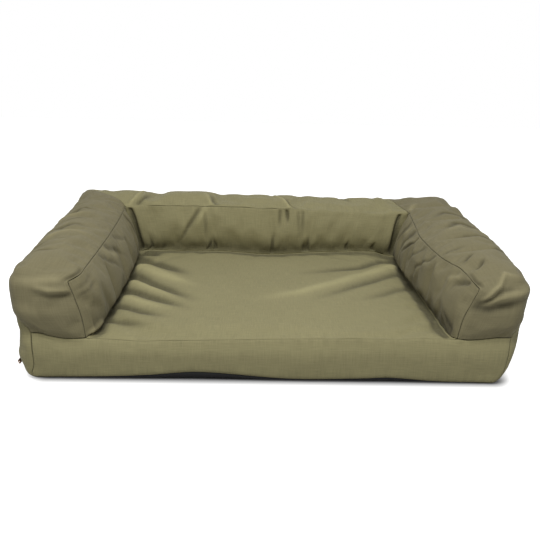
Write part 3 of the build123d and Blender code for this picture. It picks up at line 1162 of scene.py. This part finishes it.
def cut_zip_slot(bm):
    """Open the slot for the zip in the left side panel."""
    middle, out, down = zip_place()
    sink = bm.verts.layers.float_vector["sink"]

    def from_zip(face):
        return abs((face.calc_center_median() - middle).dot(down))

    def near_zip():
        return [face for face in bm.faces if from_zip(face) < zip_near]

    for sign in (-1, 1):
        cut_at(bm, middle + down * (sign * zip_slot_half_width), down, near_zip())
    for y in (zip_front_y, zip_rear_y):
        cut_at(bm, (0, y, 0), (0, 1, 0), near_zip())
    near_points = unique(vert for face in near_zip() for vert in face.verts)
    bmesh.ops.remove_doubles(bm, verts=near_points, dist=sliver)
    slot = []
    for face in near_zip():
        if from_zip(face) < zip_slot_half_width and zip_front_y < face.calc_center_median().y < zip_rear_y:
            slot.append(face)
    bmesh.ops.delete(bm, geom=slot, context="FACES")
    for vert in bm.verts:
        if vert.is_boundary and vert[sink].length < slot_sink_share:
            vert[sink] = -out * slot_sink_share


def laid_along_zip(bm):
    """Bring what was made flat, with the zip along X, to its place on the left side."""
    middle, out, down = zip_place()
    turn = Matrix((Vector((0, 1, 0)), down, out)).transposed().to_4x4()
    bmesh.ops.transform(bm, matrix=Matrix.Translation(middle) @ turn, verts=bm.verts)


def with_thickness(mesh, thickness):
    """A sheet of cloth, grown inwards from its outer face."""
    return with_modifier(mesh, "SOLIDIFY", thickness=thickness, offset=-1, use_even_offset=False)


def flat_size(bm):
    """Width, length and area of a panel laid flat."""
    laid = bm.loops.layers.uv["laid_flat"]
    area = 0.0
    places = []
    for face in bm.faces:
        corners = [loop[laid].uv for loop in face.loops]
        places += corners
        turns = sum(a.x * b.y - b.x * a.y for a, b in zip(corners, corners[1:] + corners[:1]))
        area += abs(turns) / 2
    wide = max(place.x for place in places) - min(place.x for place in places)
    long = max(place.y for place in places) - min(place.y for place in places)
    return wide, long, area


def add_panel(cover_bm, crumpled_bm, name, material):
    """One panel of the cover as cloth, whose face also joins the others' before its edges roll in."""
    bm = cut_out(cover_bm, name)
    if name in FINE_PANELS:
        finer = refined(finished_mesh(name, bm))
        bm = bmesh.new()
        bm.from_mesh(finer)
    if name == "left_side_panel":
        cut_zip_slot(bm)
    crumple(bm, name)
    unrolled = bpy.data.meshes.new(name + "_unrolled")
    bm.to_mesh(unrolled)
    crumpled_bm.from_mesh(unrolled)
    roll_edges(bm)
    wide, long, area = flat_size(bm)
    for face in bm.faces:
        face.material_index = 0
        face.smooth = True
    for vert in bm.verts:
        vert.co.z = max(vert.co.z, 0)
    mesh = finished_mesh(name + "_cloth", bm)
    mesh.materials.clear()
    mesh.materials.append(material)
    piece = bed_piece(name + "_cloth", with_thickness(mesh, cloth), name)


# Fillings inside the cover
filling_voxel = 9 * mm
filling_draw_in = 14 * mm
filling_gap = 9 * mm
pit_keep_out = 30 * mm
filling_lump = 1.5 * mm
filling_lump_size = 40 * mm
filling_rounds = 3
filling_smooth_share = 0.5
weld = 0.01 * mm


def kept_inside(cover_tree, place):
    """A place of a filling, moved to lie a gap inside the cover where it would reach it."""
    near, normal = cover_tree.find_nearest(place)[:2]
    if (near - place).dot(normal) < filling_gap:
        return near - normal * filling_gap
    return place


def drawn_in(point, normal):
    """Where a point of a filling goes: drawn in from the cover, a little lumpy and clear of the pits."""
    lump = filling_lump * noise.noise(point / filling_lump_size)
    moved = point + normal * (lump - filling_draw_in)
    from_pit = Vector((abs(moved.x) - inner_foot_x, moved.y - facing_foot_y)).length
    back_off = pit_keep_out * math.exp(-((from_pit / pit_keep_out) ** 2))
    return moved + Vector((math.copysign(back_off, moved.x), back_off, 0))


def add_filling(node, cover_tree, material):
    """One filling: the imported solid's shape, rounded, lumpy and drawn in from the cover."""
    bm = bmesh.new()
    bm.from_mesh(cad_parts[node].data)
    bmesh.ops.remove_doubles(bm, verts=bm.verts, dist=weld)
    even = with_modifier(finished_mesh(node, bm), "REMESH", mode="VOXEL", voxel_size=filling_voxel)
    bm = bmesh.new()
    bm.from_mesh(even)
    bm.normal_update()
    for vert in bm.verts:
        vert.co = drawn_in(vert.co, vert.normal)
    all_axes = {"use_axis_x": True, "use_axis_y": True, "use_axis_z": True}
    for turn in range(filling_rounds):
        bmesh.ops.smooth_vert(bm, verts=bm.verts, factor=filling_smooth_share, **all_axes)
        for vert in bm.verts:
            vert.co = kept_inside(cover_tree, vert.co)
    for face in bm.faces:
        face.smooth = True
    mesh = finished_mesh(node + "_pad", bm)
    mesh.materials.append(material)
    piece = bed_piece(node + "_pad", mesh, node)


# Zip teeth, one every tooth_pitch along each row
tooth_pitch = 1.5 * mm
tooth_share = 0.62
tooth_round = 0.35 * mm
cord_share = 0.45


def add_zip_teeth(material):
    """Two rows of teeth, each on its cord."""
    bm = bmesh.new()
    length = zip_rear_y - zip_front_y
    for sign in (-1, 1):
        across = sign * (bead_gap + bead_width) / 2
        high = bead_low + bead_height / 2
        size = Vector((tooth_pitch * tooth_share, bead_width, bead_height))
        first = add_box(bm, size, (zip_front_y + tooth_pitch / 2, across, high))
        edges = unique(edge for vert in first for edge in vert.link_edges)
        bmesh.ops.bevel(
            bm, geom=edges, affect="EDGES", offset=tooth_round, segments=1, profile=0.5, material=-1
        )
        tooth_end = zip_front_y + tooth_pitch
        tooth = [vert for vert in bm.verts if vert.co.x < tooth_end and sign * vert.co.y > 0]
        geom = tooth + unique(edge for vert in tooth for edge in vert.link_edges)
        geom += unique(face for vert in tooth for face in vert.link_faces)
        for place in range(1, int(length / tooth_pitch)):
            copy = bmesh.ops.duplicate(bm, geom=geom)["geom"]
            verts = [item for item in copy if isinstance(item, bmesh.types.BMVert)]
            bmesh.ops.translate(bm, vec=(place * tooth_pitch, 0, 0), verts=verts)
        size = (length, bead_width * cord_share, bead_height * cord_share)
        add_box(bm, size, (zip_front_y + length / 2, across, high))
    laid_along_zip(bm)
    bmesh.ops.recalc_face_normals(bm, faces=bm.faces)
    mesh = finished_mesh("zip_teeth", bm)
    mesh.materials.append(material)
    bed_piece("zip_teeth", mesh, "zip_beads")


# Zip tapes, one behind each edge of the slot
tape_width = 10 * mm
tape_from_middle = 0.4 * mm
tape_thickness = 0.5 * mm
tape_low = -1.8 * mm
tape_overlap = 1 * mm
tape_square = 2.5 * mm


def add_zip_tapes(material):
    """Two woven tapes that follow the curve of the side, each with a row of teeth along its edge."""
    radius = base_circle(floor_x, side_x, base_side_crown)[1]
    length = zip_rear_y - zip_front_y + 2 * tape_overlap
    along = round(length / tape_square)
    across = round(tape_width / tape_square)
    bm = bmesh.new()
    for sign in (-1, 1):
        strip = bmesh.ops.create_grid(bm, x_segments=along, y_segments=across, size=0.5)["verts"]
        bmesh.ops.scale(bm, vec=(length, tape_width, 1), verts=strip)
        place = ((zip_front_y + zip_rear_y) / 2, sign * (tape_from_middle + tape_width / 2), tape_low)
        bmesh.ops.translate(bm, vec=place, verts=strip)
    for vert in bm.verts:
        vert.co.z -= vert.co.y**2 / (2 * radius)
    laid_along_zip(bm)
    for face in bm.faces:
        face.smooth = True
    mesh = finished_mesh("zip_tapes", bm)
    mesh.materials.append(material)
    piece = bed_piece("zip_tapes_cloth", with_thickness(mesh, tape_thickness), "zip_tapes")


# Materials
canvas_looks = {"threads": 1500.0, "slub": 0.36, "unevenness": 0.14, "sheen": 0.05}
backing_looks = {"threads": 1100.0, "slub": 0.3, "unevenness": 0.2, "sheen": 0.1}
weave_relief = 0.25 * mm
weave_relief_strength = 0.6
grain_relief_strength = 0.5
canvas_colour = (0.255, 0.232, 0.118)
# Darker copy of the same canvas for the arms: painted shade for how the light falls on them
arm_canvas_painted_shade_colour = (0.184, 0.163, 0.088)
backing_colour = (0.012, 0.012, 0.012)

# How far the streaks of each of the two thread directions are drawn out
streak_stretches = [(0.45, 0.022, 0), (0.022, 0.5, 0)]

# Painted shade in the creases, paler worn ridges and patches of the cloth
patches_per_metre = 9.0
crease_effect_share = 0.4
cloth_roughness = 0.85
roughness_by_level = 0.1

tape_ribs_per_metre = 350.0
tape_grains_per_metre = 900.0
tape_colours = [(0.06, 0.055, 0.03), (0.13, 0.115, 0.065)]
tape_relief = 0.2 * mm
tape_roughness = 0.65
tape_roughness_share = 0.2


def feed(tree, node, inputs):
    """Give each input of a node a value or another node's output."""
    for key, value in inputs.items():
        if isinstance(value, bpy.types.NodeSocket):
            tree.links.new(value, node.inputs[key])
        else:
            node.inputs[key].default_value = value


def add_node(tree, kind, inputs=None, **settings):
    """A node with its settings and inputs."""
    node = tree.nodes.new(kind)
    for key, value in settings.items():
        setattr(node, key, value)
    feed(tree, node, inputs or {})
    return node


def maths(tree, operation, a, b=0.0):
    return add_node(tree, "ShaderNodeMath", {0: a, 1: b}, operation=operation).outputs[0]


def vector_maths(tree, operation, a, b=(0, 0, 0)):
    return add_node(tree, "ShaderNodeVectorMath", {0: a, 1: b}, operation=operation).outputs[0]


def scaled(tree, vector, factor):
    """A vector or colour times a number."""
    inputs = {0: vector, "Scale": factor}
    return add_node(tree, "ShaderNodeVectorMath", inputs, operation="SCALE").outputs[0]


def fine_noise(tree, place, scale, detail):
    """A noise of so many grains a metre."""
    inputs = {"Vector": place, "Scale": scale, "Detail": detail}
    return add_node(tree, "ShaderNodeTexNoise", inputs).outputs[0]


def two_tone(tree, share, colours):
    """A colour between two others."""
    inputs = {0: share, 6: (*colours[0], 1), 7: (*colours[1], 1)}
    return add_node(tree, "ShaderNodeMix", inputs, data_type="RGBA").outputs[2]


def raised(tree, height, strength, distance):
    """The normal of a surface with a fine relief."""
    inputs = {"Height": height, "Strength": strength, "Distance": distance}
    return add_node(tree, "ShaderNodeBump", inputs).outputs["Normal"]


def new_group(name, inputs, outputs):
    """An empty node group with named inputs and outputs, and its two end nodes."""
    group = bpy.data.node_groups.new(name, "ShaderNodeTree")
    for socket, sort in inputs.items():
        group.interface.new_socket(socket, in_out="INPUT", socket_type=sort)
    for socket, sort in outputs.items():
        group.interface.new_socket(socket, in_out="OUTPUT", socket_type=sort)
    return group, group.nodes.new("NodeGroupInput"), group.nodes.new("NodeGroupOutput")


def weave_group():
    """Plain weave with uneven threads: its relief, and a tone that is lighter on the thick threads."""
    value, vector = "NodeSocketFloat", "NodeSocketVector"
    group, given, made = new_group(
        "plain_weave",
        {"Place": vector, "Threads per metre": value, "Slub": value},
        {"Tone": value, "Relief": value},
    )
    threads = scaled(group, given.outputs["Place"], given.outputs["Threads per metre"])
    axes = add_node(group, "ShaderNodeSeparateXYZ", {0: threads})
    waves = []
    for axis in (0, 1):
        waves.append(maths(group, "SINE", maths(group, "MULTIPLY", axes.outputs[axis], math.pi)))
    over = maths(group, "MULTIPLY", waves[0], waves[1])
    tone = 0.5
    for stretch in streak_stretches:
        drawn_out = vector_maths(group, "MULTIPLY", threads, stretch)
        streaks = fine_noise(group, drawn_out, scale=1.0, detail=2.0)
        centred = maths(group, "SUBTRACT", streaks, 0.5)
        tone = maths(group, "ADD", maths(group, "MULTIPLY", centred, given.outputs["Slub"]), tone)
    relief = maths(group, "ADD", maths(group, "MULTIPLY", over, 0.5), tone)
    feed(group, made, {"Tone": tone, "Relief": relief})


def fold_shade_and_wear_group():
    """Colour of cloth with painted shade in its creases, paler on its worn ridges and a little uneven all
    over.
    """
    value, colour, vector = "NodeSocketFloat", "NodeSocketColor", "NodeSocketVector"
    group, given, made = new_group(
        "fold_shade_and_wear",
        {"Colour": colour, "Place": vector, "Crease": value, "Tone": value, "Unevenness": value},
        {"Colour": colour, "Dullness": value},
    )
    patches = fine_noise(group, given.outputs["Place"], patches_per_metre, detail=3.0)
    uneven = maths(group, "MULTIPLY", maths(group, "SUBTRACT", patches, 0.5), given.outputs["Unevenness"])
    # Painted shade where the crease is below 0, a paler worn tone where it is above
    crease_shade_and_wear = maths(group, "MULTIPLY", given.outputs["Crease"], crease_effect_share)
    tone = maths(group, "ADD", given.outputs["Tone"], 0.5)
    level = maths(group, "ADD", tone, maths(group, "ADD", uneven, crease_shade_and_wear))
    dull = maths(group, "SUBTRACT", cloth_roughness, maths(group, "MULTIPLY", level, roughness_by_level))
    feed(group, made, {"Colour": scaled(group, given.outputs["Colour"], level), "Dullness": dull})


def new_material(name):
    material = bpy.data.materials.new(name)
    material.use_nodes = True
    return material, material.node_tree, material.node_tree.nodes["Principled BSDF"]


def object_place(tree):
    """The place of a point in the object's own frame."""
    return add_node(tree, "ShaderNodeTexCoord").outputs["Object"]


def cloth_material(name, colour, threads, slub, unevenness, sheen):
    """Woven cloth whose threads follow the panel laid flat."""
    material, tree, shader = new_material(name)
    flat = add_node(tree, "ShaderNodeUVMap", uv_map="laid_flat").outputs["UV"]
    crease = add_node(tree, "ShaderNodeAttribute", attribute_name="crease").outputs["Fac"]
    weave = add_node(
        tree,
        "ShaderNodeGroup",
        {"Place": flat, "Threads per metre": threads, "Slub": slub},
        node_tree=bpy.data.node_groups["plain_weave"],
    )
    # Painted shade in the creases and seams, paler worn ridges
    shade_and_wear = add_node(
        tree,
        "ShaderNodeGroup",
        {
            "Colour": (*colour, 1),
            "Place": object_place(tree),
            "Crease": crease,
            "Tone": weave.outputs["Tone"],
            "Unevenness": unevenness,
        },
        node_tree=bpy.data.node_groups["fold_shade_and_wear"],
    )
    looks = {
        "Base Color": shade_and_wear.outputs["Colour"],
        "Roughness": shade_and_wear.outputs["Dullness"],
        "Normal": raised(tree, weave.outputs["Relief"], weave_relief_strength, weave_relief),
        "Sheen Weight": sheen,
        "Sheen Roughness": 0.5,
        "Specular IOR Level": 0.25,
    }
    feed(tree, shader, looks)
    return material


def speckled_material(name, colours, scale, detail, roughness, metallic, relief):
    """A finish that varies between two colours in a fine grain, with the grain's relief."""
    material, tree, shader = new_material(name)
    grain = fine_noise(tree, object_place(tree), scale, detail)
    rough = add_node(
        tree, "ShaderNodeMapRange", {"Value": grain, "To Min": roughness[0], "To Max": roughness[1]}
    )
    looks = {
        "Base Color": two_tone(tree, grain, colours),
        "Roughness": rough.outputs["Result"],
        "Normal": raised(tree, grain, grain_relief_strength, relief),
        "Metallic": metallic,
    }
    feed(tree, shader, looks)
    return material


def ribbed_tape_material():
    """Narrow woven tape with ribs along its length."""
    material, tree, shader = new_material("ribbed_tape")
    place = object_place(tree)
    wave = {"Vector": place, "Scale": tape_ribs_per_metre, "Distortion": 0.4}
    ribs = add_node(tree, "ShaderNodeTexWave", wave, bands_direction="Z").outputs["Fac"]
    grain = fine_noise(tree, place, tape_grains_per_metre, detail=2.0)
    height = maths(tree, "ADD", ribs, maths(tree, "MULTIPLY", grain, 0.5))
    rough = maths(tree, "MULTIPLY", grain, tape_roughness_share)
    looks = {
        "Base Color": two_tone(tree, grain, tape_colours),
        "Roughness": maths(tree, "ADD", rough, tape_roughness),
        "Normal": raised(tree, height, grain_relief_strength, tape_relief),
    }
    feed(tree, shader, looks)
    return material


def give_material(node, material):
    """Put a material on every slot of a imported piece."""
    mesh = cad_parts[node].data
    if not mesh.materials:
        mesh.materials.append(material)
    for place in range(len(mesh.materials)):
        mesh.materials[place] = material


weave_group()
fold_shade_and_wear_group()
canvas = cloth_material("olive_canvas", canvas_colour, **canvas_looks)
# The arms' canvas is a darker copy of the same cloth: painted shade
painted_shade_arm_canvas = cloth_material("olive_canvas_across", arm_canvas_painted_shade_colour, **canvas_looks)
backing = cloth_material("black_backing", backing_colour, **backing_looks)
foam = speckled_material(
    "pale_foam",
    colours=[(0.62, 0.55, 0.38), (0.78, 0.71, 0.52)],
    scale=600.0,
    detail=4.0,
    roughness=(0.8, 0.95),
    metallic=0.0,
    relief=0.6 * mm,
)
fibre = speckled_material(
    "white_fibre",
    colours=[(0.7, 0.7, 0.68), (0.86, 0.86, 0.84)],
    scale=220.0,
    detail=6.0,
    roughness=(0.85, 1.0),
    metallic=0.0,
    relief=1.5 * mm,
)
nylon = speckled_material(
    "dark_nylon",
    colours=[(0.03, 0.024, 0.016), (0.06, 0.05, 0.034)],
    scale=500.0,
    detail=2.0,
    roughness=(0.35, 0.5),
    metallic=0.0,
    relief=0.05 * mm,
)
metal = speckled_material(
    "aged_metal",
    colours=[(0.11, 0.055, 0.03), (0.42, 0.27, 0.17)],
    scale=260.0,
    detail=3.0,
    roughness=(0.3, 0.5),
    metallic=1.0,
    relief=0.05 * mm,
)

cover = link("cover", stuffed_cover())
stuff(cover)
cover_bm = bmesh.new()
cover_bm.from_mesh(refined(cover.data))
mark_seams(cover_bm)
crumpled_bm = bmesh.new()
bpy.data.objects.remove(cover)
for name in PANELS:
    if name == "underside_panel":
        add_panel(cover_bm, crumpled_bm, name, backing)
    else:
        add_panel(cover_bm, crumpled_bm, name, painted_shade_arm_canvas if "arm" in name else canvas)
cover_bm.free()
cover_tree = bvhtree.BVHTree.FromBMesh(crumpled_bm)
crumpled_bm.free()

add_filling("mattress_foam", cover_tree, foam)
for node in ("left_arm_filling", "right_arm_filling", "back_filling"):
    add_filling(node, cover_tree, fibre)
add_zip_teeth(nylon)
add_zip_tapes(ribbed_tape_material())
for node in ("zip_stops", "zip_slider", "zip_pull"):
    give_material(node, metal)


# Camera, lamps, floor and white surroundings
camera_place = Vector((-43.2 * mm, -1537.2 * mm, 549.9 * mm))
camera_pitch = math.radians(16.5)
camera_yaw = math.radians(-1.72)
camera_roll = math.radians(1.45)
sensor_width = 36.0
focal_share = 762 / 540

key_place = (-0.12, -1.1, 2.05)
key_aim = (0, 0, 0.1)
key_size = (1.1, 0.9)
key_power = 42
room_light = 0.24

# The floor's colour is darker close round the bed, a painted shadow over its real one
floor_size = 8.0
floor_roughness = 0.9
floor_painted_shadow_colour = 0.15
floor_colour_far = 0.5
shadow_half_width = 378 * mm
shadow_half_depth = 330 * mm
shadow_core = 8 * mm
shadow_reach = 50 * mm


def set_camera():
    """Camera at the photograph's viewing angle."""
    level_right = Vector((math.cos(camera_yaw), math.sin(camera_yaw), 0))
    level_ahead = Vector((-math.sin(camera_yaw), math.cos(camera_yaw), 0))
    up = Vector((0, 0, 1))
    ahead = level_ahead * math.cos(camera_pitch) - up * math.sin(camera_pitch)
    steep_up = level_ahead * math.sin(camera_pitch) + up * math.cos(camera_pitch)
    right = level_right * math.cos(camera_roll) + steep_up * math.sin(camera_roll)
    top = steep_up * math.cos(camera_roll) - level_right * math.sin(camera_roll)
    camera = bpy.data.objects.new("camera", bpy.data.cameras.new("camera"))
    bpy.context.scene.collection.objects.link(camera)
    camera.data.sensor_width = sensor_width
    camera.data.lens = sensor_width * focal_share
    turn = Matrix((right, top, -ahead)).transposed()
    camera.matrix_world = Matrix.Translation(camera_place) @ turn.to_4x4()
    bpy.context.scene.camera = camera


def add_lamp(name, place, aim, size, power):
    """A soft box light that looks at a point."""
    data = bpy.data.lights.new(name, "AREA")
    data.shape = "RECTANGLE"
    data.size, data.size_y = size
    data.energy = power
    lamp = bpy.data.objects.new(name, data)
    bpy.context.scene.collection.objects.link(lamp)
    lamp.location = place
    lamp.rotation_euler = (Vector(aim) - Vector(place)).to_track_quat("-Z", "Y").to_euler()


def seen_through(tree):
    """1 for what the camera sees by itself, in a mirror or through glass, and 0 for light on things."""
    path = add_node(tree, "ShaderNodeLightPath")
    seen = path.outputs["Is Camera Ray"]
    for ray in ("Is Glossy Ray", "Is Transmission Ray"):
        seen = maths(tree, "MAXIMUM", seen, path.outputs[ray])
    return seen


def set_world():
    """White to look at, with a plain level of light on the object."""
    world = bpy.data.worlds.new("world")
    bpy.context.scene.world = world
    world.use_nodes = True
    tree = world.node_tree
    level = add_node(tree, "ShaderNodeMix", {0: seen_through(tree), 2: room_light, 3: 1.0})
    feed(tree, tree.nodes["Background"], {"Color": (1, 1, 1, 1), "Strength": level.outputs[0]})


def away_from_bed(tree):
    """0 under and close round the bed, rising to 1 over the width of its painted shadow."""
    folded = vector_maths(tree, "ABSOLUTE", object_place(tree))
    beyond = vector_maths(tree, "SUBTRACT", folded, (shadow_half_width, shadow_half_depth, 0))
    outside = vector_maths(tree, "MAXIMUM", beyond)
    distance = add_node(tree, "ShaderNodeVectorMath", {0: outside}, operation="LENGTH").outputs["Value"]
    reach = {"Value": distance, "From Min": shadow_core, "From Max": shadow_reach}
    return add_node(tree, "ShaderNodeMapRange", reach, interpolation_type="SMOOTHSTEP").outputs["Result"]


def add_floor():
    """A white floor with a painted shadow close round the bed."""
    bm = bmesh.new()
    bmesh.ops.create_grid(bm, x_segments=1, y_segments=1, size=floor_size / 2)
    floor = link("floor", finished_mesh("floor", bm))
    material, tree, shader = new_material("white_floor")
    away = away_from_bed(tree)
    # Floor colour darker close round the bed: painted shadow
    pale = {"Value": away, "To Min": floor_painted_shadow_colour, "To Max": floor_colour_far}
    looks = {
        "Base Color": add_node(tree, "ShaderNodeMapRange", pale).outputs["Result"],
        "Roughness": floor_roughness,
        "Emission Color": (1, 1, 1, 1),
        "Emission Strength": maths(tree, "MULTIPLY", away, seen_through(tree)),
    }
    feed(tree, shader, looks)
    floor.data.materials.append(material)


set_camera()
add_lamp("key_lamp", key_place, key_aim, key_size, key_power)
set_world()
add_floor()

bpy.context.scene.view_settings.view_transform = "Standard"
